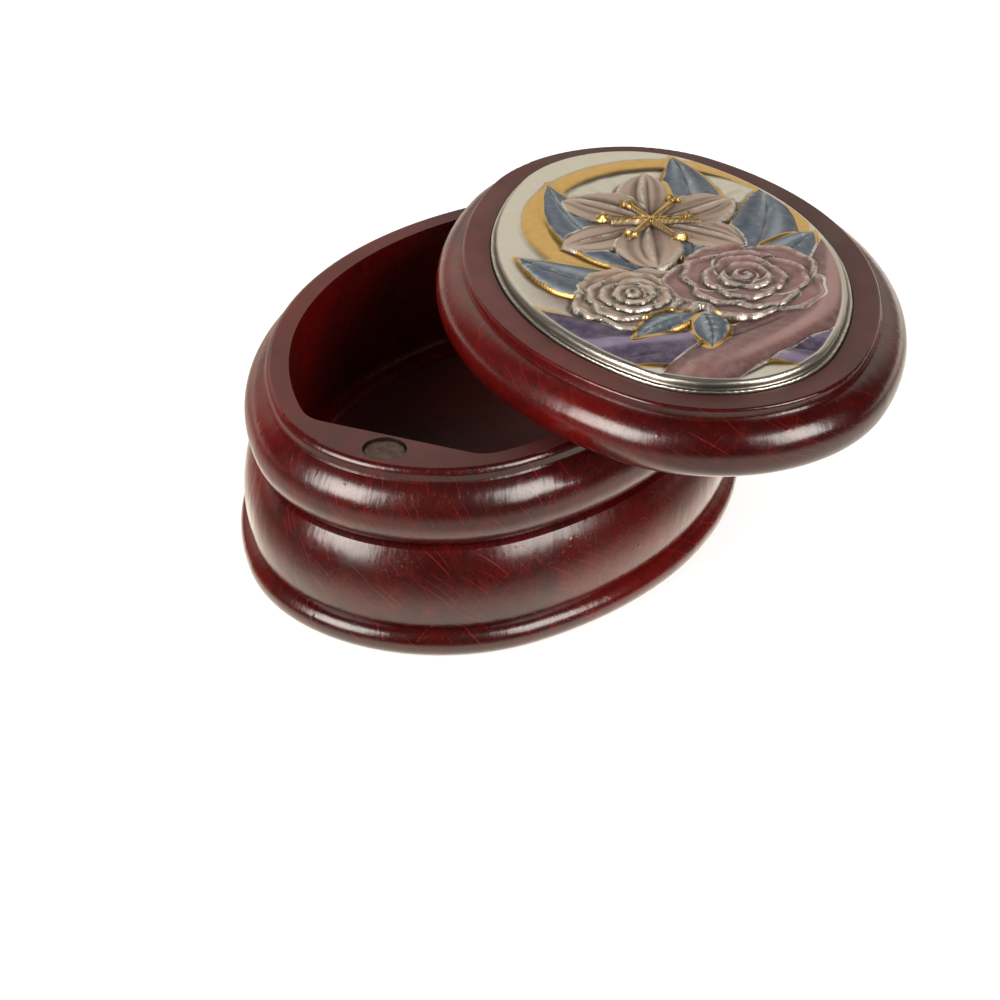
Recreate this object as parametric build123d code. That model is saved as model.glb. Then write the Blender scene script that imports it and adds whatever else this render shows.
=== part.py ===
from build123d import *
import math
import os

# Swivel-lid keepsake box, sizes in millimetres.
# The long axis of the oval base lies along Y. The lid turns on an upright pin at the far end (+Y),
# and a pair of magnets at the near end (-Y) holds it shut. The origin is the centre of the flat foot.

# Outlines: each oval is four tangent arcs, two round the ends and two along the sides.
base_length = 80.0
base_width = 59.2
base_end_radius = 24.0

# How far the closed lid's outline stands in from the base's, and how much tighter its ends turn.
lid_end_setback = 1.6
lid_side_setback = 2.0
lid_end_tightening = 2.2

# Base, one routed block.
base_height = 23.6
floor_thickness = 5.0
wall_at_rim = 2.1
floor_fillet = 2.5
cavity_corner = 4.0

# Edge moulding of the base: an inset is measured inwards from the oval, a level upwards from the foot.
# The rim's height is the short upright above the upper swell, with its round.
foot_face_inset = 1.0
foot_bead_height = 3.45
lower_swell_foot_inset = 1.3
lower_swell_inset = 0.6
lower_swell_level = 7.4
waist_level = 13.5
waist_inset = 2.4
waist_quirk = 0.7
waist_quirk_rise = 0.4
upper_swell_inset = 1.0
shoulder_inset = 3.4
rim_height = 1.7
rim_wall_inset = 3.6
rim_round = 0.8

# Lid: one round swell, then a low ring with a flat top that carries the plaque.
lid_height = 8.35
lid_face_inset = 2.9
lid_shoulder_inset = 3.1
ring_height = 1.35
ring_wall_inset = 3.3
ring_round = 0.35

# Plaque: a thin silver sheet pressed over a hard core, set in a shallow seat in the lid.
plaque_inset = 6.75
plaque_rise = 1.3
plaque_edge_slope = 0.65
plaque_edge_round = 0.4
sheet_lip = 0.2
sheet_thickness = 0.25
seat_depth = 0.6
seat_clearance = 0.15

# Pivot pin, tight in the base and running in a blind bore of the lid.
pin_diameter = 3.0
pin_in_base = 9.0
pin_in_lid = 5.0
pin_chamfer = 0.3
pin_fit = 0.01
pin_running_clearance = 0.06
pin_end_clearance = 0.3

# Magnets, one in the base and one in the lid, each sunk a little below its face.
magnet_diameter = 5.0
magnet_thickness = 2.0
magnet_chamfer = 0.2
magnet_recess = 0.3
magnet_clearance = 0.1
land_edge = 0.4

# Plain stock left behind each run of edge moulding, which the middle block laps into by half.
edge_backing = 1.0

# The lid rests swung open by this much, counter-clockwise seen from above.
open_angle = 38.3

# Worked-out sizes.
lid_length = base_length - 2 * lid_end_setback
lid_width = base_width - 2 * lid_side_setback
lid_end_radius = base_end_radius - lid_end_tightening
shoulder_level = base_height - rim_height
lid_shoulder_level = lid_height - ring_height
cavity_inset = rim_wall_inset + rim_round + wall_at_rim
magnet_hole_radius = magnet_diameter / 2 + magnet_clearance
magnet_hole_depth = magnet_thickness + magnet_recess
pivot_reach = base_length / 2 - rim_wall_inset - rim_round - land_edge - magnet_hole_radius
land_reach = pivot_reach - magnet_hole_radius - land_edge
rise_over_floor = base_height - floor_thickness


def oval_arcs(length, width, end_radius):
    """Centre, radius, first angle and sweep of the four tangent arcs of an oval."""
    end_centre = length / 2 - end_radius
    side_radius = (end_centre**2 + (width / 2) ** 2 - end_radius**2) / (width - 2 * end_radius)
    side_centre = side_radius - width / 2
    joint_angle = math.degrees(math.atan2(end_centre, side_centre))
    side_sweep = 2 * joint_angle
    end_sweep = 180 - side_sweep
    return [
        ((-side_centre, 0), side_radius, -joint_angle, side_sweep),
        ((0, end_centre), end_radius, joint_angle, end_sweep),
        ((side_centre, 0), side_radius, 180 - joint_angle, side_sweep),
        ((0, -end_centre), end_radius, 180 + joint_angle, end_sweep),
    ]


def oval_face(arcs, inset):
    """Flat face inside the oval, drawn in by the inset."""
    edges = [CenterArc(centre, radius - inset, start, sweep) for centre, radius, start, sweep in arcs]
    return make_face(edges)


def moulded_oval(arcs, edge_section):
    """Solid with a flat foot and top whose edge is the same section all round the oval.

    edge_section(radius) gives the section's lines from the foot outwards and up to the top,
    for an arc of that radius. Each arc's run of edge is that section, backed by a strip of plain
    stock, turned about the arc's centre. One plain block then fills the middle.
    """
    body = Part()
    for centre, radius, start, sweep in arcs:
        lines = edge_section(radius)
        foot_point = lines[0] @ 0
        top_point = lines[-1] @ 1
        inner = min(foot_point.X, top_point.X) - edge_backing
        closing = Polyline(top_point, (inner, top_point.Y), (inner, foot_point.Y), foot_point)
        direction = Vector(1, 0, 0).rotate(Axis.Z, start)
        plane = Plane((centre[0], centre[1], 0), x_dir=direction, z_dir=direction.cross(Vector(0, 0, 1)))
        section = plane * make_face([*lines, *closing.edges()])
        body += revolve(section, Axis((centre[0], centre[1], 0), (0, 0, 1)), sweep)
    middle = oval_face(arcs, radius - inner - edge_backing / 2)
    return body + extrude(Pos(0, 0, foot_point.Y) * middle, top_point.Y - foot_point.Y)


def base_edge(radius):
    """Foot bead, lower swell, waist, upper swell, short upright and rounded rim of the base."""
    def at(inset, level):
        return (radius - inset, level)

    waist_foot = at(waist_inset + waist_quirk, waist_level + waist_quirk_rise)
    shoulder = at(shoulder_inset, shoulder_level)
    upper_level = (waist_level + waist_quirk_rise + shoulder_level) / 2
    rim_foot = at(rim_wall_inset, shoulder_level + rim_wall_inset - shoulder_inset)
    rim_wall_top = at(rim_wall_inset, base_height - rim_round)
    rim_edge = at(rim_wall_inset + rim_round, base_height)
    bead_top = at(lower_swell_foot_inset, foot_bead_height)
    return [
        ThreePointArc(at(foot_face_inset, 0), at(0, foot_bead_height / 2), bead_top),
        ThreePointArc(bead_top, at(lower_swell_inset, lower_swell_level), at(waist_inset, waist_level)),
        Line(at(waist_inset, waist_level), waist_foot),
        ThreePointArc(waist_foot, at(upper_swell_inset, upper_level), shoulder),
        Line(shoulder, rim_foot),
        Line(rim_foot, rim_wall_top),
        RadiusArc(rim_wall_top, rim_edge, -rim_round),
    ]


def lid_edge(radius):
    """Round swell, small ledge, short upright and softened ring edge of the lid."""
    def at(inset, level):
        return (radius - inset, level)

    shoulder = at(lid_shoulder_inset, lid_shoulder_level)
    ring_foot = at(ring_wall_inset, lid_shoulder_level + ring_wall_inset - lid_shoulder_inset)
    ring_wall_top = at(ring_wall_inset, lid_height - ring_round)
    return [
        ThreePointArc(at(lid_face_inset, 0), at(0, lid_shoulder_level / 2), shoulder),
        Line(shoulder, ring_foot),
        Line(ring_foot, ring_wall_top),
        RadiusArc(ring_wall_top, at(ring_wall_inset + ring_round, lid_height), -ring_round),
    ]


def plaque_edge(radius, shrink):
    """Upright lip in the seat, then a sloping edge that rolls over into the flat field.

    The sheet's outside has no shrink. The core inside it is smaller all round by the sheet's thickness.
    """
    def at(inset, level):
        return (radius - plaque_inset - shrink - inset, level)

    lip = at(0, lid_height + sheet_lip - shrink)
    top_level = lid_height + plaque_rise - shrink
    crest = at(plaque_edge_slope, top_level - plaque_edge_round)
    return [
        Line(at(0, lid_height - seat_depth), lip),
        Line(lip, crest),
        RadiusArc(crest, at(plaque_edge_slope + plaque_edge_round, top_level), -plaque_edge_round),
    ]


def chamfered_disc(diameter, thickness, chamfer_size):
    """Upright disc or pin standing on its local origin, with both rims chamfered."""
    disc = extrude(Circle(diameter / 2), thickness)
    return chamfer(disc.edges().filter_by(GeomType.CIRCLE), chamfer_size)


def make_base_body(arcs):
    """Block with its moulded edge, the cavity between two lands, the pin bore and the magnet hole."""
    body = moulded_oval(arcs, base_edge)
    plan = oval_face(arcs, cavity_inset) & Rectangle(base_width, 2 * land_reach)
    vertex_rows = plan.vertices().group_by(Axis.Y)
    plan = fillet(vertex_rows[0] + vertex_rows[-1], cavity_corner)
    cavity = extrude(Pos(0, 0, floor_thickness) * plan, rise_over_floor)
    floor_edges = cavity.edges().group_by(Axis.Z)[0]
    cavity = fillet(floor_edges, floor_fillet)
    bore = extrude(Circle(pin_diameter / 2 + pin_fit), pin_in_base)
    hole = extrude(Circle(magnet_hole_radius), magnet_hole_depth)
    body -= cavity
    body -= Pos(0, pivot_reach, base_height - pin_in_base) * bore
    body -= Pos(0, -pivot_reach, base_height - magnet_hole_depth) * hole
    return body


def make_lid_body(arcs):
    """Lid with its moulded edge, plaque seat, blind pivot bore and magnet hole, foot face at level 0."""
    body = moulded_oval(arcs, lid_edge)
    seat = extrude(oval_face(arcs, plaque_inset - seat_clearance), seat_depth)
    bore = extrude(Circle(pin_diameter / 2 + pin_running_clearance), pin_in_lid + pin_end_clearance)
    hole = extrude(Circle(magnet_hole_radius), magnet_hole_depth)
    body -= Pos(0, 0, lid_height - seat_depth) * seat
    body -= Pos(0, pivot_reach, 0) * bore
    body -= Pos(0, -pivot_reach, 0) * hole
    return body


def make_plaque(arcs):
    """Sheet and core of the plaque, in the lid's own frame."""
    outside = moulded_oval(arcs, lambda radius: plaque_edge(radius, 0))
    core = moulded_oval(arcs, lambda radius: plaque_edge(radius, sheet_thickness))
    return outside - core, core


base_arcs = oval_arcs(base_length, base_width, base_end_radius)
lid_arcs = oval_arcs(lid_length, lid_width, lid_end_radius)
plaque_sheet, plaque_core = make_plaque(lid_arcs)
magnet = chamfered_disc(magnet_diameter, magnet_thickness, magnet_chamfer)
pin = chamfered_disc(pin_diameter, pin_in_base + pin_in_lid, pin_chamfer)

# The lid's pieces are made closed, on the rim, and swung open together about the pin.
open_lid = Pos(0, pivot_reach, base_height) * Rot(0, 0, open_angle) * Pos(0, -pivot_reach, 0)
parts = {
    "base_body": make_base_body(base_arcs),
    "base_magnet": Pos(0, -pivot_reach, base_height - magnet_recess - magnet_thickness) * magnet,
    "pivot_pin": Pos(0, pivot_reach, base_height - pin_in_base) * pin,
    "lid_body": open_lid * make_lid_body(lid_arcs),
    "lid_magnet": open_lid * Pos(0, -pivot_reach, magnet_recess) * magnet,
    "plaque_core": open_lid * plaque_core,
    "plaque_sheet": open_lid * plaque_sheet,
}

os.makedirs("parts", exist_ok=True)
for node, solid in parts.items():
    export_step(solid, f"parts/{node}.step")
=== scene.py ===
import math

import bmesh
import bpy
import numpy as np
from mathutils import Matrix, Vector


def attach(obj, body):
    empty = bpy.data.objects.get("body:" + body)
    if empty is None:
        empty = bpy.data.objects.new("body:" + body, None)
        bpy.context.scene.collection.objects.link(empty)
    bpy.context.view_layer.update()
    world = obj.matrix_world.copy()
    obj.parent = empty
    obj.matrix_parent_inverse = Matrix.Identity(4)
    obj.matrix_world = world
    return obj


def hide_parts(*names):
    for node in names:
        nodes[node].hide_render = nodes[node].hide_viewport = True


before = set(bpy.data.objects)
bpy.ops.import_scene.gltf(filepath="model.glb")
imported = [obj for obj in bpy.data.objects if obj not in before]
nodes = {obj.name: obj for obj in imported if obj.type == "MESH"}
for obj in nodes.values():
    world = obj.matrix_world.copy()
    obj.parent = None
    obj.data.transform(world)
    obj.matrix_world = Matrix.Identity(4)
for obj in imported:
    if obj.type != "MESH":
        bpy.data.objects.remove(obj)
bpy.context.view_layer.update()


# ---------------------------------------------------------------------------------------------
# The base: one oval block of close-grained hardwood, its edge run with a foot bead and two swells,
# its inside routed out between two lands. It is stained cherry red and sprayed with clear lacquer,
# which is flatted to a satin on the rim. Swirl marks of the sanding disc took the stain brighter.

class Wire:
    """One output of a shader node. Sums written with wires add their Math nodes."""

    def __init__(self, finish, node, output=0):
        self.finish = finish
        self.node = node
        self.socket = node.outputs[output] if node.outputs else None

    def __getitem__(self, output):
        return Wire(self.finish, self.node, output)

    def math(self, operation, *values, **settings):
        inputs = dict(enumerate(values))
        return self.finish.node("Math", dict(operation=operation, **settings), inputs)

    def __add__(self, other):
        return self.math("ADD", self, other)

    __radd__ = __add__

    def __sub__(self, other):
        return self.math("SUBTRACT", self, other)

    def __rsub__(self, other):
        return self.math("SUBTRACT", other, self)

    def __mul__(self, other):
        return self.math("MULTIPLY", self, other)

    __rmul__ = __mul__

    def __truediv__(self, other):
        return self.math("DIVIDE", self, other)

    def __pow__(self, other):
        return self.math("POWER", self, other)

    def __abs__(self):
        return self.math("ABSOLUTE", self)

    def between(self, low, high):
        """0 below low and 1 above high, with a smooth step; the other way round if high is the lower."""
        settings = dict(interpolation_type="SMOOTHSTEP", clamp=True)
        if low < high:
            return self.finish.node("MapRange", settings, {0: self, 1: low, 2: high, 3: 0.0, 4: 1.0})
        return self.finish.node("MapRange", settings, {0: self, 1: high, 2: low, 3: 1.0, 4: 0.0})


class Finish:
    """A material being made up. node() adds any shader node and hands back its output as a Wire."""

    def __init__(self, name):
        self.material = bpy.data.materials.new(name)
        self.material.use_nodes = True
        self.tree = self.material.node_tree
        self.tree.nodes.clear()

    def node(self, kind, settings=None, inputs=None, output=0):
        made = self.tree.nodes.new("ShaderNode" + kind)
        for key, value in (settings or {}).items():
            if key == "stops":
                ramp = made.color_ramp.elements
                while len(ramp) < len(value):
                    ramp.new(0.5)
                for stop, (place, colour) in zip(ramp, value):
                    stop.position, stop.color = place, colour
            else:
                setattr(made, key, value)
        for key, value in (inputs or {}).items():
            if isinstance(value, Wire):
                self.tree.links.new(value.socket, made.inputs[key])
            else:
                made.inputs[key].default_value = value
        return Wire(self, made, output)

    def join(self, x, y, z=0.0):
        return self.node("CombineXYZ", None, {0: x, 1: y, 2: z})

    def part(self, vector, axis):
        return self.node("SeparateXYZ", None, {0: vector}, axis)

    def blend(self, factor, first, second):
        """Mix of two colours."""
        return self.node("Mix", dict(data_type="RGBA", clamp_factor=True), {0: factor, 6: first, 7: second}, 2)

    def noise(self, vector, scale, detail=2.0, roughness=0.5, distortion=0.0):
        inputs = {"Vector": vector, "Scale": scale, "Detail": detail, "Roughness": roughness, "Distortion": distortion}
        return self.node("TexNoise", None, inputs)

    def surface(self, bump_height=None, bump_distance=0.001, **inputs):
        """Ends the material in one Principled shader, with a bump height in metres of bump_distance."""
        if bump_height is not None:
            bump = {"Height": bump_height, "Distance": bump_distance, "Strength": 1.0}
            inputs["Normal"] = self.node("Bump", None, bump)
        named = {key.replace("_", " "): value for key, value in inputs.items()}
        shader = self.node("BsdfPrincipled", None, named)
        self.node("OutputMaterial", None, {"Surface": shader})
        return self.material


def dress(obj, material):
    """Puts one material on all of a piece."""
    if not obj.data.materials:
        obj.data.materials.append(material)
    for i in range(len(obj.data.materials)):
        obj.data.materials[i] = material
    for slot in obj.material_slots:
        slot.material = material


def lacquered_wood(name, centre, turn, half_width, half_length, seed, uneven, reds_and_side_light, swirls, hole_shade_levels):
    """Stained and lacquered wood for a moulded oval whose long axis is turned by turn from Y.

    uneven is how much the lacquer ripples over the tool marks below it. reds_and_side_light says how far the stain
    leans to its bright end all over, and then how much it is brightened towards the -x and the +x side, which is
    painted light where the side lamps fall. Each of the swirls is a run of sanding marks: its share, tilt,
    spacing, length, width and bend, and the levels between which it comes in. hole_shade_levels are the levels
    between which the wall of the magnet hole is painted dark, a painted shade in the recess.
    """
    f = Finish(name)
    place = f.node("TexCoord", None, None, "Object")
    origin = f.node("VectorMath", dict(operation="SUBTRACT"), {0: place, 1: centre})
    turned = f.node("VectorRotate", dict(rotation_type="Z_AXIS"), {"Vector": origin, "Angle": -turn})
    mm = f.node("VectorMath", dict(operation="SCALE"), {0: turned, "Scale": 1000.0})
    x, y, z = (f.part(mm, i) for i in range(3))
    facing = f.node("NewGeometry", None, None, "Normal")
    flat = abs(f.part(facing, 2)).between(0.97, 0.995)
    side = x / half_width

    # Distance along the moulding.
    angle = y.math("ARCTAN2", y / half_length, x / half_width)
    along = angle * ((half_length + half_width) / 2)

    def swirl(tilt, spacing, length, width, bend, offset):
        """Short curved sanding marks that lean by tilt, one in each long narrow cell."""
        c, s = math.cos(tilt), math.sin(tilt)
        across = along * c + z * (1.25 * s)
        down = z * (1.25 * c) - along * s
        cells = f.join(across / spacing + offset, down / length + offset)
        mark = f.node("TexVoronoi", dict(voronoi_dimensions="2D", feature="F1"), {"Vector": cells, "Scale": 1.0, "Randomness": 0.8}, "Position")
        strength = f.part(mark["Color"], 0)
        off_across = (f.part(cells, 0) - f.part(mark, 0)) * spacing
        off_down = (f.part(cells, 1) - f.part(mark, 1)) * length
        line = abs(off_across + off_down * off_down * bend)
        bright = strength.between(0.0, 1.0)
        return line.between(width, 0.0) * abs(off_down).between(0.5 * length, 0.2 * length) * bright * bright

    marks = 0.0
    for i, (share, tilt, spacing, length, width, bend, low, high) in enumerate(swirls):
        marks = marks + share * swirl(tilt, spacing, length, width, bend, 3.1 + 14.6 * i + seed) * z.between(low, high)
    patches = f.noise(mm, 0.11, 2.0).between(0.42, 0.62)
    marks = marks * (0.55 + 0.45 * patches) * (1.0 - flat)

    # Stain: broad cloudiness, fine grain along the long axis, and open pores.
    cloud = f.noise(mm, 0.06, 3.0, 0.55)
    grain = f.noise(f.join(x * 2.2, y * 0.16, z * 2.2), 1.0, 4.0, 0.6, 0.3)
    fleck = f.noise(mm, 2.6, 3.0, 0.6)
    strokes = f.noise(f.join(along * 3.4, z * 0.75, seed + 6), 1.0, 2.0, 0.55)
    mottle = f.noise(mm, 0.38, 1.5, 0.5, 0.4)
    # Painted light: the stain is brightened towards the -x and +x sides, where the side lamps fall. The first value
    # only leans the whole stain to its bright end.
    tone = reds_and_side_light[0] + reds_and_side_light[1] * side.between(0.2, -1.0) + reds_and_side_light[2] * side.between(0.4, 1.0)
    tone = tone + 0.065 + cloud.between(0.34, 0.66) * 0.18 + mottle.between(0.30, 0.70) * 0.10 + grain.between(0.3, 0.75) * 0.09
    tone = tone + (strokes.between(0.28, 0.72) * (1.0 - flat) + 0.5 * flat) * 0.09 + fleck.between(0.28, 0.75) * 0.05
    stain = f.node("ValToRGB", dict(stops=[(0.0, (0.009, 0.0009, 0.0008, 1)), (0.45, (0.0235, 0.0014, 0.0012, 1)), (1.0, (0.118, 0.0033, 0.0024, 1))]), {0: tone})
    stain = f.blend(marks * 0.62, stain, (0.24, 0.012, 0.009, 1))
    pores = f.noise(f.join(x * 5.0, y * 1.1, z * 5.0), 1.0, 1.0).between(0.66, 0.74)
    stain = f.blend(pores * 0.5, stain, (0.012, 0.002, 0.002, 1))
    # Painted sheen: the level faces are painted paler and greyer, for the sheen of the satin lacquer on them.
    stain = f.blend(flat * 0.35, stain, (0.070, 0.016, 0.012, 1))
    # Painted shade: the wall of the magnet hole is painted nearly black, for the shade in the recess.
    from_hole = y + magnet_reach
    hole_shade = (x * x + from_hole * from_hole).between(7.6, 6.8) * z.between(*hole_shade_levels)
    stain = f.blend(hole_shade * 0.85, stain, (0.010, 0.006, 0.005, 1))

    # Lacquer: hairline haze of the last rubbing down, dust nibs, and a faint ripple round the edge.
    hair_one = f.noise(f.join((along + z * 1.1) * 5.5, (z - along) * 0.55, seed), 1.0, 2.0, 0.6)
    hair_two = f.noise(f.join((along - z * 0.9) * 5.0, (z + along) * 0.5, seed + 9), 1.0, 2.0, 0.6)
    nibs = f.node("TexVoronoi", dict(feature="F1"), {"Vector": mm, "Scale": 0.42, "Randomness": 1.0}, "Distance").between(0.16, 0.03)
    peel = f.noise(mm, 1.3, 2.0, 0.5)
    ripple = f.noise(f.join(along * 1.7, z * 0.35, seed + 4), 1.0, 2.0, 0.6) * 0.42 + f.noise(f.join(along * 0.5, z * 0.35, seed + 7), 1.0, 1.0) * 0.9
    height = (hair_one * 0.05 + hair_two * 0.04) * (1.0 - flat) + grain * 0.08 * flat + peel * 0.14 + ripple * uneven * (1.0 - flat) + nibs * 0.35 + marks * 0.06 - pores * 0.14
    rough = 0.13 + 0.015 * uneven + 0.08 * fleck + (0.20 + 0.10 * uneven) * flat + 0.06 * (1.0 - patches)
    return f.surface(bump_height=height, bump_distance=0.00005, Base_Color=stain, Roughness=rough, IOR=1.54)


base_half_width, base_half_length = 29.6, 40.0
magnet_reach = 32.6
base_swirls = [
    (1.4, 0.85, 1.15, 8.0, 0.062, 0.042, 14.0, 13.2), (0.9, 0.70, 2.3, 6.5, 0.060, 0.050, 14.0, 13.2),
    (1.3, 0.50, 1.2, 5.0, 0.060, 0.070, 13.2, 14.0), (0.6, -0.75, 1.9, 4.5, 0.050, -0.05, 0.0, 1.0),
]
dress(nodes["base_body"], lacquered_wood("cherry_lacquer_base", (0, 0, 0), 0.0, base_half_width, base_half_length, 2.0, 1.2, (0.13, 0.30, 0.22), base_swirls, (21.0, 21.2)))


# ---------------------------------------------------------------------------------------------
# The pivot pin and the two magnets. The pin is a ground steel dowel driven into the far land, and
# the lid turns on it. The magnets are plated discs glued a little below the faces of base and lid.

def worn_metal(name, bright, dull, roughness, metallic):
    """Dull metal with rubbed patches and fine scratches."""
    f = Finish(name)
    mm = f.node("VectorMath", dict(operation="SCALE"), {0: f.node("TexCoord", None, None, "Object"), "Scale": 1000.0})
    patches = f.noise(mm, 0.9, 3.0).between(0.35, 0.65)
    specks = f.noise(mm, 6.0, 2.0)
    colour = f.blend(patches * 0.7 + specks * 0.3, dull, bright)
    rim = abs(f.part(f.node("NewGeometry", None, None, "Normal"), 2)).between(0.96, 0.85)
    colour = f.blend(rim * 0.6, colour, (0.48, 0.42, 0.36, 1))
    height = specks + f.noise(f.join(f.part(mm, 0) * 12.0, f.part(mm, 1), f.part(mm, 2)), 1.0, 1.0)
    return f.surface(bump_height=height, bump_distance=0.000008, Base_Color=colour, Metallic=metallic, Roughness=roughness + 0.15 * specks)


magnet_metal = worn_metal("plated_magnet", (0.125, 0.078, 0.060, 1), (0.055, 0.033, 0.025, 1), 0.36, 0.85)
for magnet in ("base_magnet", "lid_magnet"):
    dress(nodes[magnet], magnet_metal)
dress(nodes["pivot_pin"], worn_metal("ground_steel", (0.62, 0.62, 0.63, 1), (0.45, 0.45, 0.47, 1), 0.22, 1.0))


# ---------------------------------------------------------------------------------------------
# The lid: one oval of the same wood, with a round swell, a small ledge and a flat ring round the
# seat of the plaque. It is stained and lacquered with the base. It stands swung open about the pin.

open_angle = math.radians(38.3)
pivot = Vector((0.0, 0.0326, 0.0236))
lid_place = Matrix.Translation(pivot) @ Matrix.Rotation(open_angle, 4, "Z") @ Matrix.Translation(-Vector((0.0, pivot.y, 0.0)))
lid_centre = lid_place @ Vector((0, 0, 0))
lid_half_width, lid_half_length = 27.6, 38.4
lid_swirls = [
    (0.9, 1.12, 1.4, 8.0, 0.058, 0.028, 0.0, 0.5), (0.8, 0.95, 2.2, 6.5, 0.055, 0.032, 0.0, 0.5),
    (0.5, -0.85, 2.4, 4.5, 0.050, -0.04, 0.0, 0.5),
]
dress(nodes["lid_body"], lacquered_wood("cherry_lacquer_lid", tuple(lid_centre), open_angle, lid_half_width, lid_half_length, 31.0, 0.8, (0.10, 0.29, 0.0), lid_swirls, (2.6, 2.4)))


# ---------------------------------------------------------------------------------------------
# The plaque's core: a cast filler behind the silver sheet, glued into the seat of the lid. It is
# hidden, apart from a hairline at the foot of the sheet.

core = Finish("cast_filler")
core_mm = core.node("VectorMath", dict(operation="SCALE"), {0: core.node("TexCoord", None, None, "Object"), "Scale": 1000.0})
core_cloud = core.noise(core_mm, 0.8, 3.0)
core_colour = core.blend(core_cloud, (0.50, 0.46, 0.40, 1), (0.62, 0.58, 0.50, 1))
dress(nodes["plaque_core"], core.surface(bump_height=core_cloud, bump_distance=0.00002, Base_Color=core_colour, Roughness=0.5 + 0.2 * core_cloud))


# ---------------------------------------------------------------------------------------------
# The plaque's silver sheet: thin silver pressed over the core, its edge drawn down to a lip in the
# seat. The relief is a lily, two roses, leaves and two ribbons before a sun. The sheet is tinted by
# hand with thin enamels, outlined in gilt, and left bare between and on the worn ridges.

plaque_end_centre, plaque_end_radius = 16.6, 21.8 - 6.75
plaque_side_centre, plaque_side_radius = 20.855, 48.455 - 6.75
field_inset, field_level, lid_face_level = 1.05, 1.30, 8.35


def oval_reach(angle, inset):
    """Distance from the middle to the plaque's outline, drawn in by inset, towards each angle from +X."""
    dx, dy = abs(np.cos(angle)), abs(np.sin(angle))
    end_radius, side_radius = plaque_end_radius - inset, plaque_side_radius - inset
    joint = np.array([0, plaque_end_centre]) + end_radius * np.array([plaque_side_centre, plaque_end_centre]) / math.hypot(plaque_side_centre, plaque_end_centre)
    at_end = dy * plaque_end_centre + np.sqrt(np.maximum(end_radius**2 - (plaque_end_centre * dx)**2, 0))
    at_side = np.sqrt(side_radius**2 - (plaque_side_centre * dy)**2) - dx * plaque_side_centre
    return np.where(dy * joint[0] > dx * joint[1], at_end, at_side)


def step(x, low, high):
    """0 below low and 1 above high, with a smooth step between."""
    t = np.clip((x - low) / (high - low), 0.0, 1.0)
    return t * t * (3 - 2 * t)


def over(colour, second, share):
    """Lays a second colour over the first, point by point."""
    share = np.clip(share, 0, 1)[:, None]
    return np.asarray(colour) * (1 - share) + np.asarray(second) * share


def streaks(s, t, count, seed):
    """Soft uneven brush streaks that run along a shape."""
    first = np.sin(count * s + seed + 1.7 * np.sin(2.1 * t + seed))
    second = np.sin(count * 2.3 * s - seed * 2 + 2.6 * t)
    return 0.5 + 0.31 * (first + 0.6 * second)


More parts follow.
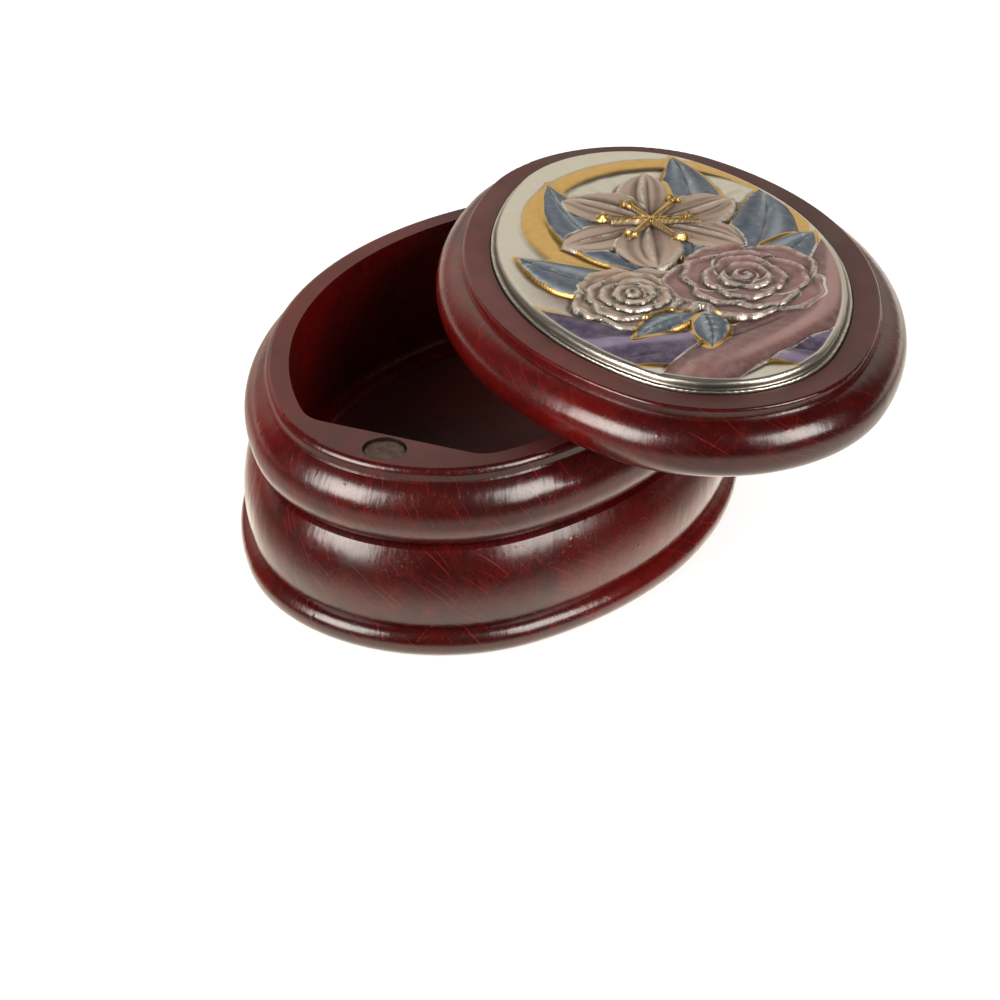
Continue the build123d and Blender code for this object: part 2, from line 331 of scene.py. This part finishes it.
class Relief:
    """The sheet as it is worked, shape over shape: its height in mm, its enamel, gilt and outlines."""

    def __init__(self, u, v):
        self.u, self.v = u, v
        self.height = np.zeros_like(u)
        self.enamel = np.zeros((len(u), 3))
        self.cover = np.zeros_like(u)
        self.gilt = np.zeros_like(u)
        self.gold_line = np.full_like(u, 9.0)
        self.silver_line = np.full_like(u, 9.0)

    def lay(self, depth, height, colour=None, gilt=0.0, line="silver", edge=0.22):
        """Lays one shape over those before it. depth is the distance inside the shape's edge."""
        share = step(depth, -0.02, edge)
        self.height += share * (height - self.height)
        if colour is not None:
            self.enamel += share[:, None] * (colour - self.enamel)
        self.cover += share * ((colour is not None) - self.cover)
        self.gilt += share * (gilt - self.gilt)
        self.gold_line[depth > 0.12] = 9.0
        self.silver_line[depth > 0.12] = 9.0
        if line == "gold":
            self.gold_line = np.minimum(self.gold_line, abs(depth))
        elif line == "silver":
            self.silver_line = np.minimum(self.silver_line, abs(depth))

    def blade(self, root, tip, width, belly, point, bend=0.0):
        """A leaf or petal: t along it, s across it, and the depth inside its edge.

        belly is where it is widest, point how sharp its tip is, and bend curves its axis.
        """
        axis = np.subtract(tip, root)
        length = math.hypot(*axis)
        axis = axis / length
        along = ((self.u - root[0]) * axis[0] + (self.v - root[1]) * axis[1]) / length
        t = np.clip(along, 1e-4, 1 - 1e-4)
        across = (self.v - root[1]) * axis[0] - (self.u - root[0]) * axis[1] - bend * length * 4 * t * (1 - t)
        swell = point * belly / (1 - belly)
        peak = belly**swell * (1 - belly)**point
        half = width / 2 * t**swell * (1 - t)**point / peak
        slope = np.clip(half * (swell / t - point / (1 - t)) / length, -4, 4)
        depth = (half - abs(across)) / np.sqrt(1 + slope**2)
        beyond = (along - t) * length
        depth = np.where(abs(beyond) > 1e-3 * length, -np.hypot(across, beyond), depth)
        return t, np.clip(across / np.maximum(half, 0.15), -1.3, 1.3), depth

    def strip(self, points, wide, narrow):
        """A ribbon along a smooth line: t along it, s across it, and the depth. Its ends are narrow of its width."""
        knots = np.array(points, float)
        knots = np.vstack([2 * knots[0] - knots[1], knots, 2 * knots[-1] - knots[-2]])
        k = np.linspace(0, 1, 24, endpoint=False)[:, None]
        line = []
        for a, b, c, d in zip(knots, knots[1:], knots[2:], knots[3:]):
            line.extend(0.5 * (2 * b + (c - a) * k + (2 * a - 5 * b + 4 * c - d) * k**2 + (3 * b - a - 3 * c + d) * k**3))
        line = np.array(line)
        near = np.zeros(len(self.u), int)
        best = np.full(len(self.u), 1e9)
        for i, (x, y) in enumerate(line):
            gap = (self.u - x)**2 + (self.v - y)**2
            closer = gap < best
            near[closer], best[closer] = i, gap[closer]
        ahead = np.gradient(line, axis=0)
        ahead /= np.linalg.norm(ahead, axis=1)[:, None]
        du, dv = self.u - line[near, 0], self.v - line[near, 1]
        across = ahead[near, 0] * dv - ahead[near, 1] * du
        past = ahead[near, 0] * du + ahead[near, 1] * dv
        t = (near + np.clip(past / np.linalg.norm(line[1] - line[0]), -0.5, 0.5)) / (len(line) - 1.0)
        half = wide / 2 * (narrow + (1 - narrow) * np.sin(np.clip(t, 0, 1) * math.pi)**0.8)
        return t, across / half, half - abs(across)

    def leaf(self, root, tip, width, bend, level, seed, dark=0.0):
        """A blue-grey leaf with a sunk midrib, side veins and one edge curled up."""
        t, s, depth = self.blade(root, tip, width, 0.42, 1.05, bend)
        swell = 1 - np.exp(-np.maximum(depth, 0) / 0.7)
        midrib = np.exp(-(s / 0.07)**2) * step(t, 0.02, 0.15)
        veins = np.sin((t * 13 - abs(s) * 2.4) * math.pi)
        height = level + 0.55 * swell * (0.75 + 0.35 * np.sin(t * math.pi)) - 0.22 * midrib
        height += 0.07 * veins * swell * (1 - abs(s)) + 0.20 * step(s, -0.1, 1.0)
        mood = streaks(s * 1.3, t, 3.2, seed)
        colour = over(np.tile((0.028, 0.042, 0.068), (len(t), 1)), (0.082, 0.112, 0.145), 0.15 + mood * 1.1 - dark)
        colour = over(colour, (0.25, 0.29, 0.31), step(mood, 0.6, 1.0) * 0.5 + midrib * 0.4 + 0.3 * step(s, 0.35, 1.0) * step(mood, 0.2, 0.8))
        self.lay(depth, height, colour, line="gold")

    def lily(self, centre, size, turn, level, seed):
        """A six-petalled lily, three petals behind and three in front, with gilt stamens."""
        for k in (0, 2, 4, 1, 3, 5):
            front = k % 2
            a = turn + k * math.pi / 3
            reach = size * (1.0 - 0.07 * front + 0.04 * math.sin(2.3 * k + seed))
            root = (centre[0] - math.sin(a) * 0.4, centre[1] - math.cos(a) * 0.4)
            tip = (centre[0] + math.sin(a) * reach, centre[1] + math.cos(a) * reach)
            t, s, depth = self.blade(root, tip, size * (0.62 if front else 0.52), 0.56, 0.85, 0.05 * (-1)**k)
            depth = depth + 0.10 * np.sin(t * 17 + seed + k) * step(t, 0.4, 0.8) * step(1 - t, 0.05, 0.3)
            swell = 1 - np.exp(-np.maximum(depth, 0) / 0.8)
            rib = np.exp(-(s / 0.10)**2) * step(1 - t, 0.0, 0.3)
            grooves = np.exp(-((abs(s) - 0.22) / 0.08)**2) * step(1 - t, 0.0, 0.3)
            height = level + 0.18 * front + 0.50 * swell * (0.55 + 0.75 * t) + 0.14 * rib - 0.16 * grooves
            height += step(abs(s), 0.55, 0.95) * 0.24 * np.sin(t * math.pi) - 0.40 * step(1 - t, 0.72, 1.0)
            mood = streaks(s * 1.6, t, 4.0, seed + k)
            colour = over(np.tile((0.235, 0.160, 0.118), (len(t), 1)), (0.41, 0.315, 0.245), 0.05 + 0.55 * step(t, 0.3, 1.0) + 0.5 * (mood - 0.5))
            colour = over(colour, (0.085, 0.048, 0.030), 0.9 * step(1 - t, 0.50, 0.95) + 0.45 * grooves + 0.5 * step(0.45 - mood, 0, 0.4))
            self.lay(depth, height, colour, line="gold" if k == 0 else "silver")
        for k in range(6):
            a = turn + math.pi / 6 + k * math.pi / 3 + 0.12 * math.sin(5 * k)
            reach = size * (0.40 + 0.05 * math.cos(3 * k))
            head = np.array((centre[0] + math.sin(a) * reach, centre[1] + math.cos(a) * reach))
            t, s, depth = self.strip([centre, (centre + head) / 2, head], 0.6, 1.0)
            depth = np.minimum(depth, 0.3 - np.maximum(np.hypot(self.u - centre[0], self.v - centre[1]) - reach, 0))
            self.lay(depth, level + 0.75 + 0.2 * (1 - s**2), gilt=1.0, line=None, edge=0.15)
            side = np.array((math.cos(a), -math.sin(a))) * 1.0
            t, s, depth = self.blade(head - side, head + side, 0.95, 0.5, 0.5)
            brown = np.tile((0.10, 0.05, 0.025), (len(t), 1))
            self.lay(depth, level + 0.85 + 0.4 * step(depth, 0, 0.4), brown, line="gold", edge=0.15)

    def rose(self, centre, size, level, seed, dark, middle, light):
        """A full rose from rings of cupped petals with rolled lips, round a coiled bud."""
        rings = ((5, 0.56, 0.50, 0.0), (5, 0.40, 0.42, 0.6), (4, 0.25, 0.33, 1.1), (3, 0.12, 0.24, 0.2))
        du, dv = self.u - centre[0], self.v - centre[1]
        for place, (count, out, wide, turn) in enumerate(rings):
            for k in range(count):
                a = seed + turn + k * 2 * math.pi / count
                radius = wide * size * (1 + 0.07 * math.sin(3 * k + seed))
                outward = (du * math.sin(a) + dv * math.cos(a) - out * size) / radius
                sideways = (du * math.cos(a) - dv * math.sin(a)) / radius
                wavy = 0.045 * np.sin(sideways * 7 + seed + 2 * k) * step(outward, 0.0, 0.8)
                depth = (1 + wavy - np.hypot(outward, sideways * 0.88)) * radius
                lip = np.exp(-((depth - 0.42) / 0.40)**2) * step(outward, -0.4, 0.6)
                height = level + 0.24 * place + 0.30 * step(outward, -1.0, 1.0) * (1 - 0.2 * place) + 0.28 * lip
                height += 0.05 * np.sin(sideways * 6 + seed + k) * step(outward, 0.1, 0.8)
                mood = streaks(sideways * 1.2, outward, 3.0, seed + 2 * k + place)
                colour = over(np.tile(middle, (len(du), 1)), light, 0.05 + 0.50 * lip + 0.45 * (mood - 0.5) + 0.08 * place)
                colour = over(colour, dark, 0.95 * step(-outward, -0.6, 0.5) + 0.35 * step(0.5 - mood, 0, 0.5))
                self.lay(depth, height, colour, line="silver")
        reach, spin = np.hypot(du, dv), np.arctan2(du, dv)
        bud = 0.17 * size - reach
        coil = np.cos(spin - reach * 6.5 / (0.17 * size))
        self.lay(bud, level + 1.05 + 0.16 * coil + 0.1 * step(bud, 0, 0.6), over(np.tile(dark, (len(du), 1)), light, 0.35 + 0.45 * coil))

    def ribbon(self, points, wide, narrow, level, seed, folds, dark, middle, light, line):
        """A broad ribbon with soft folds along it, thick at its creases."""
        t, s, depth = self.strip(points, wide, narrow)
        bend = s * folds + seed + 1.6 * np.sin(t * 5 + seed)
        wave = np.sin(bend) + 0.45 * np.sin(bend * 1.9 - 6 * t)
        swell = 1 - np.exp(-np.maximum(depth, 0) / 0.8)
        crease = np.exp(-(np.sin(bend * 0.8 + 2.2 * t + 0.6 * np.sin(9 * t)) / 0.16)**2) * step(np.sin(t * 11 + 3 * s + seed), -0.3, 0.8)
        height = level + 0.5 * swell + 0.20 * wave * swell - 0.20 * crease * swell + 0.1 * np.sin(t * 9)
        colour = over(np.tile(dark, (len(t), 1)), middle, 0.65 + 0.35 * wave)
        colour = over(colour, light, step(wave, 0.35, 1.3) * 0.70)
        colour = over(colour, dark, crease * 0.7)
        self.lay(depth, height, colour, line=line)

    def soften(self, values, rows, times):
        """The same values with each point averaged with its neighbours on the grid."""
        grid = values.reshape(rows, -1).copy()
        for _ in range(times):
            padded = np.pad(grid, 1, mode="edge")
            grid = (padded[:-2, 1:-1] + padded[2:, 1:-1] + padded[1:-1, :-2] + padded[1:-1, 2:] + 2 * grid) / 6
        return grid.ravel()


def work_relief(u, v):
    """The whole design, from the back to the front."""
    r = Relief(u, v)
    taupe = ((0.085, 0.048, 0.030), (0.235, 0.160, 0.118), (0.41, 0.315, 0.245))
    mauve = ((0.070, 0.026, 0.028), (0.168, 0.080, 0.076), (0.31, 0.190, 0.175))
    purple = ((0.022, 0.014, 0.040), (0.078, 0.055, 0.105), (0.21, 0.170, 0.25))

    reach = np.hypot(u - 2.5, v - 9.5)
    turn = np.arctan2(u - 2.5, v - 9.5)
    ring = 1.7 - abs(reach - 16.2)
    r.lay(ring, 0.18 + 0.12 * step(ring, 0, 0.9), gilt=1.0, edge=0.3)
    rays = 0.06 * np.sin(turn * 26) * step(reach, 6, 12)
    r.lay(14.1 - reach, 0.07 + rays, line=None, edge=0.3)
    shadow = np.exp(-(((u + 13.5) / 4.5)**2 + ((v + 4.0) / 7.0)**2)) + 0.7 * np.exp(-(((u - 3) / 15)**2 + ((v + 4) / 10)**2))
    r.enamel[:] = (0.15, 0.095, 0.070)
    r.cover = np.maximum(r.cover, np.clip(shadow, 0, 0.8))

    r.leaf((5.0, -8.0), (17.8, 17.0), 9.5, -0.07, 0.10, 1.0, 0.1)
    r.leaf((2.0, -2.0), (9.0, 27.6), 9.0, -0.05, 0.16, 2.3)
    r.leaf((-3.0, -4.0), (-8.5, 24.0), 7.5, 0.09, 0.12, 3.1, 0.05)
    r.leaf((-4.0, -8.0), (-18.0, 5.5), 8.0, 0.12, 0.16, 4.4)
    r.leaf((6.0, -10.0), (19.6, 2.5), 8.0, -0.02, 0.22, 5.2, -0.05)
    r.ribbon([(-24, -8), (-16, -17), (-7, -20.5), (3, -22.5), (12, -25.5), (20, -22)], 10.0, 0.8, 0.18, 0.4, 4.5, *purple, "gold")
    r.ribbon([(24, 1), (18.5, -9), (12.5, -17), (3.5, -22.5), (-5, -28), (-12, -34)], 8.5, 0.85, 0.34, 2.1, 3.6, *mauve, "silver")
    r.lily(np.array((0.5, 9.0)), 13.4, 0.25, 0.42, 0.7)
    r.rose((-7.4, -9.6), 7.4, 0.42, 0.9, *taupe)
    r.rose((6.6, -8.8), 9.2, 0.50, 2.3, *mauve)
    r.leaf((-0.8, -14.8), (-2.6, -24.0), 4.8, 0.06, 0.62, 7.7)
    r.leaf((-1.5, -15.2), (-10.8, -19.8), 4.4, -0.08, 0.55, 8.3)
    return r


def pressed_sheet():
    """The sheet's mesh: a fine grid drawn to the oval field, then ring after ring out, down and under."""
    columns, rows = 220, 338
    bm = bmesh.new()
    bmesh.ops.create_grid(bm, x_segments=columns, y_segments=rows, size=1.0)
    bm.verts.ensure_lookup_table()
    flat = np.array([vert.co for vert in bm.verts])
    x, y = flat[:, 0], flat[:, 1]
    disc_x, disc_y = x * np.sqrt(1 - y * y / 2), y * np.sqrt(1 - x * x / 2)
    part_way = np.hypot(disc_x, disc_y)
    angle = np.arctan2(disc_y * 30.6, disc_x * 19.8)
    reach = oval_reach(angle, field_inset)
    u, v = part_way * reach * np.cos(angle), part_way * reach * np.sin(angle)
    to_edge = (1 - part_way) * reach

    r = work_relief(u, v)
    wander = np.sin(u * 0.9 + 1.3 * np.sin(v * 0.6)) * np.sin(v * 0.75 + 1.1 * np.sin(u * 0.5))
    gold_width = 0.30 + 0.10 * wander
    gold = np.exp(-(r.gold_line / gold_width)**2)
    ridge = np.exp(-(r.silver_line / 0.14)**2)
    height = r.height + 0.14 * gold + 0.06 * ridge + 0.02 * wander
    height = height * (0.12 + 0.88 * step(to_edge, 0.0, 2.6))
    hollow = r.soften(height, rows + 1, 14) - height
    worn = step(-hollow, 0.035, 0.11)
    # The dark wash in the field's hollows. The edge rings add their painted shade to the same column further down.
    wash_and_edge_shade = step(hollow, 0.01, 0.11)

    for vert, px, py, h in zip(bm.verts, u, v, height):
        vert.co = (px, py, lid_face_level + field_level + max(h, 0.0))
    boundary = [edge for edge in bm.edges if edge.is_boundary]
    # Each ring of the edge gives its inset, its level and how far it is painted dark. That dark is a painted dark
    # reflection on the outer slope below the crest and painted shade in the gap at the foot. The lip between is left
    # bright.
    profile = [(0.96, 1.29, 0.0), (0.85, 1.25, 0.0), (0.74, 1.18, 0.25), (0.64, 1.07, 0.6), (0.57, 0.94, 0.85),
               (0.52, 0.77, 1.0), (0.48, 0.58, 1.0), (0.43, 0.44, 1.0), (0.34, 0.37, 0.85), (0.22, 0.36, 0.4),
               (0.12, 0.38, 0.0), (0.04, 0.34, 0.1), (0.0, 0.22, 0.7), (0.0, -0.6, 1.0), (0.25, -0.6, 1.0),
               (0.25, 0.10, 1.0), (0.78, 0.50, 1.0), (0.95, 0.90, 1.0), (1.3, 1.06, 1.0)]
    around = len(boundary)
    for inset, level, _ in profile:
        grown = bmesh.ops.extrude_edge_only(bm, edges=boundary)["geom"]
        boundary = [item for item in grown if isinstance(item, bmesh.types.BMEdge)]
        for vert in (item for item in grown if isinstance(item, bmesh.types.BMVert)):
            a = math.atan2(vert.co.y, vert.co.x)
            dent = 0.025 * math.sin(a * 23 + 2 * math.sin(a * 7)) if 0.0 < inset < 0.7 and level > 0.3 else 0.0
            crimp = 0.03 * math.sin(a * 170 + 3 * math.sin(a * 31)) if 0.0 < inset < 0.3 and level < 0.4 and level > 0.3 else 0.0
            out = float(oval_reach(np.array([a]), inset + dent)[0])
            vert.co = (out * math.cos(a), out * math.sin(a), lid_face_level + level + crimp)
    bmesh.ops.contextual_create(bm, geom=boundary)
    bmesh.ops.recalc_face_normals(bm, faces=bm.faces)
    for face in bm.faces:
        face.smooth = True
    bmesh.ops.scale(bm, vec=(0.001, 0.001, 0.001), verts=bm.verts)
    bmesh.ops.transform(bm, matrix=lid_place, verts=bm.verts)
    mesh = bpy.data.meshes.new("plaque_relief")
    bm.to_mesh(mesh)
    bm.free()

    edge_bare = step(to_edge, 0.05, 0.4)
    layers = {
        "enamel": (r.enamel, (0.2, 0.2, 0.2)),
        "coats": (np.stack([r.cover * edge_bare, r.gilt, to_edge], 1), (0.0, 0.0, -1.0)),
        "wear": (np.stack([worn, wash_and_edge_shade, wander], 1), (0.0, 0.0, 0.0)),
        "outlines": (np.stack([r.gold_line / gold_width, r.silver_line, r.height], 1), (9.0, 9.0, 0.0)),
    }
    for name, (values, rest) in layers.items():
        whole = np.tile(np.array(rest, float), (len(mesh.vertices), 1))
        whole[:len(values)] = values
        if name == "wear":
            # The edge rings take their painted shade and dark reflection into the second column.
            whole[len(values):, 1] = np.repeat([edge_shade for _, _, edge_shade in profile], around)
        layer = mesh.attributes.new(name, "FLOAT_VECTOR", "POINT")
        layer.data.foreach_set("vector", whole.ravel())
    return mesh


def enamelled_silver():
    """Satin silver under thin enamel, with gilt, dark wash in the hollows, painted dark reflection on the edge's outer
    slope, painted shade at its foot, and bright worn ridges.
    """
    f = Finish("enamelled_silver")
    mm = f.node("VectorMath", dict(operation="SCALE"), {0: f.node("TexCoord", None, None, "Object"), "Scale": 1000.0})
    paint = f.node("Attribute", dict(attribute_name="enamel"), None, "Vector")
    coats = f.node("Attribute", dict(attribute_name="coats"), None, "Vector")
    wear = f.node("Attribute", dict(attribute_name="wear"), None, "Vector")
    outlines = f.node("Attribute", dict(attribute_name="outlines"), None, "Vector")
    cover, gilt, to_edge = (f.part(coats, i) for i in range(3))
    worn, wash_and_edge_shade = f.part(wear, 0), f.part(wear, 1)
    gold_line, silver_line = f.part(outlines, 0), f.part(outlines, 1)

    mottle = f.noise(mm, 0.9, 3.0, 0.6)
    grit = f.noise(mm, 5.5, 3.0, 0.6)
    brushed = f.noise(f.join(f.part(mm, 0) * 0.7, f.part(mm, 1) * 7.0, f.part(mm, 2)), 1.0, 3.0)
    silver = f.blend(mottle * 0.6 + brushed * 0.4, (0.60, 0.57, 0.50, 1), (0.74, 0.715, 0.65, 1))
    # Dark wash in the field's hollows, with painted dark reflection and shade on the edge's slope and foot.
    silver = f.blend(wash_and_edge_shade * 0.80, silver, (0.11, 0.085, 0.068, 1))
    gold = f.blend(mottle, (0.64, 0.39, 0.115, 1), (0.80, 0.55, 0.20, 1))
    gold = f.blend(wash_and_edge_shade * 0.7, gold, (0.20, 0.085, 0.018, 1))
    tint = f.blend(mottle.between(0.35, 0.75) * 0.20, paint, (0.30, 0.27, 0.25, 1))
    tint = f.blend(wash_and_edge_shade * 0.65, tint, (0.030, 0.018, 0.016, 1))

    ragged = (grit - 0.5) * 0.5
    in_gold = (gold_line + ragged).between(1.15, 0.75).math("MAXIMUM", (gold_line + ragged).between(1.15, 0.75), gilt)
    ridge = (silver_line + ragged * 0.04).between(0.20, 0.10) * mottle.between(0.34, 0.50)
    bare = ridge.math("MAXIMUM", ridge, worn * (mottle + ragged * 0.15).between(0.42, 0.58) * 0.70)
    enamel = cover * (1.0 - bare)
    colour = f.blend(enamel, silver, tint)
    colour = f.blend(in_gold, colour, gold)
    dull = enamel * (1.0 - in_gold)
    height = grit * 0.5 + brushed * (1.0 - dull) * 0.4 + mottle * 0.4
    rough = 0.27 + 0.08 * brushed + dull * 0.17 + 0.06 * in_gold
    return f.surface(bump_height=height, bump_distance=0.00003, Base_Color=colour, Metallic=1.0 - 0.62 * dull, Roughness=rough)


plaque = bpy.data.objects.new("plaque_relief", pressed_sheet())
bpy.context.scene.collection.objects.link(plaque)
dress(plaque, enamelled_silver())
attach(plaque, "lid")
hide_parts("plaque_sheet")


# ---------------------------------------------------------------------------------------------
# The studio: a white floor and backdrop, two soft lamps to the left and right of the camera, and
# the camera where the photograph was taken from.

view_turn = math.radians(22.577)
view_drop = math.radians(30.932)
to_right = Vector((math.cos(view_turn), math.sin(view_turn), 0))
away = Vector((-math.sin(view_turn), math.cos(view_turn), 0))

camera_data = bpy.data.cameras.new("camera")
camera = bpy.data.objects.new("camera", camera_data)
bpy.context.scene.collection.objects.link(camera)
camera.location = (0.16024, -0.38314, 0.24747)
forward = away * math.cos(view_drop) - Vector((0, 0, math.sin(view_drop)))
camera.rotation_mode = "QUATERNION"
camera.rotation_quaternion = forward.to_track_quat("-Z", "Y")
camera_data.sensor_width = 36.0
camera_data.lens = 138.46
camera_data.clip_start = 0.01
camera_data.clip_end = 20.0
bpy.context.scene.camera = camera


def soft_lamp(name, side, rise, width, height, watts, distance=0.7):
    """A soft box aimed at the object, side degrees right of the camera and rise degrees up."""
    a, e = math.radians(side), math.radians(rise)
    direction = (to_right * math.sin(a) - away * math.cos(a)) * math.cos(e) + Vector((0, 0, math.sin(e)))
    data = bpy.data.lights.new(name, "AREA")
    data.shape, data.size, data.size_y, data.energy = "RECTANGLE", width, height, watts
    data.color = (1.0, 0.95, 0.89)
    lamp = bpy.data.objects.new(name, data)
    bpy.context.scene.collection.objects.link(lamp)
    aim = Vector((0.01, 0.0, 0.02))
    lamp.location = aim + direction * distance
    lamp.rotation_mode = "QUATERNION"
    lamp.rotation_quaternion = (-direction).to_track_quat("-Z", "Y")
    lamp.visible_camera = False


soft_lamp("lamp_left", -60, 27, 0.47, 0.46, 6.9)
soft_lamp("lamp_left_middle", -60, 27, 0.28, 0.28, 0.9, 0.68)
soft_lamp("lamp_right", 55, 32, 0.40, 0.45, 5.4)
soft_lamp("lamp_right_middle", 57, 32, 0.20, 0.28, 0.6, 0.68)

floor_bm = bmesh.new()
bmesh.ops.create_grid(floor_bm, x_segments=1, y_segments=1, size=3.0, matrix=Matrix.Translation((0, 0, -0.00005)))
floor_mesh = bpy.data.meshes.new("floor")
floor_bm.to_mesh(floor_mesh)
floor_bm.free()
floor = bpy.data.objects.new("floor", floor_mesh)
bpy.context.scene.collection.objects.link(floor)
paper = Finish("white_table")
rays = paper.node("LightPath", None, None, "Is Camera Ray")
seen = (rays + rays["Is Glossy Ray"] + rays["Is Transmission Ray"]).math("MINIMUM", rays + rays["Is Glossy Ray"] + rays["Is Transmission Ray"], 1.0)
lit = paper.node("BsdfDiffuse", None, {"Color": (0.8, 0.785, 0.76, 1)})
spot = paper.node("TexCoord", None, None, "Object")
rightwards = paper.node("VectorMath", dict(operation="DOT_PRODUCT"), {0: spot, 1: tuple(to_right)}, "Value")
rightwards = rightwards.between(-0.03, 0.10)
outward = paper.node("VectorMath", dict(operation="MULTIPLY"), {0: spot, 1: (35 / 30, 35 / 40, 0)})
outward = paper.node("VectorMath", dict(operation="LENGTH"), {0: outward}, "Value")
clean = paper.blend(outward.between(0.20, 0.60), (0.72, 0.72, 0.72, 1), (1, 1, 1, 1))
shown = paper.node("AddShader", None, {0: paper.node("BsdfDiffuse", None, {"Color": (0.35, 0.35, 0.35, 1)}), 1: paper.node("Emission", None, {"Color": clean, "Strength": 1.0})})
far_glow = paper.blend(rightwards, (0.50, 0.462, 0.385, 1), (1.12, 1.035, 0.89, 1))
near_glow = paper.blend(rightwards, (1.55, 1.43, 1.20, 1), (2.1, 1.94, 1.67, 1))
glow = paper.blend(outward.between(0.052, 0.037), far_glow, near_glow)
steepness = 1.0 - paper.node("LayerWeight", None, {"Blend": 0.5}, "Facing")
beyond = paper.node("VectorMath", dict(operation="DOT_PRODUCT"), {0: spot, 1: tuple(away)}, "Value").between(0.04, 0.12)
shining = steepness.between(0.10, 0.50)
shining = shining.math("MAXIMUM", shining, beyond)
dim = paper.node("BsdfDiffuse", None, {"Color": (0.03, 0.028, 0.024, 1)})
glowing = paper.node("AddShader", None, {0: paper.node("BsdfDiffuse", None, {"Color": (0.28, 0.265, 0.24, 1)}), 1: paper.node("Emission", None, {"Color": glow, "Strength": 1.0})})
mirrored = paper.node("MixShader", None, {0: shining, 1: dim, 2: glowing})
glimpsed = paper.node("MixShader", None, {0: rays, 1: mirrored, 2: shown})
laid = paper.node("MixShader", None, {0: seen, 1: lit, 2: glimpsed})
beneath = rays * paper.node("NewGeometry", None, None, "Backfacing")
paper.node("OutputMaterial", None, {"Surface": paper.node("MixShader", None, {0: beneath, 1: laid, 2: paper.node("BsdfTransparent")})})
dress(floor, paper.material)

world = bpy.data.worlds.new("studio")
bpy.context.scene.world = world
world.use_nodes = True
studio = Finish.__new__(Finish)
studio.tree = world.node_tree
studio.tree.nodes.clear()
sky = studio.node("TexCoord", None, None, "Generated")
behind = studio.node("VectorMath", dict(operation="DOT_PRODUCT"), {0: sky, 1: tuple(away)}, "Value")
height = studio.part(sky, 2)
backdrop = behind.between(0.55, 0.85) * (0.40 + 0.55 * height.between(0.08, 0.38)) * height.between(0.85, 0.62)
rays = studio.node("LightPath", None, None, "Is Camera Ray")
glossy = rays["Is Glossy Ray"]
level = backdrop + 0.02 + (1.0 - glossy) * 0.40
level = level * (1.0 - rays) + rays * 1.0
grey = studio.join(level, level * (1.0 - glossy * 0.07), level * (1.0 - glossy * 0.2))
studio.node("OutputWorld", None, {"Surface": studio.node("Background", None, {"Color": grey, "Strength": 1.0})})

bpy.context.scene.view_settings.view_transform = "Standard"
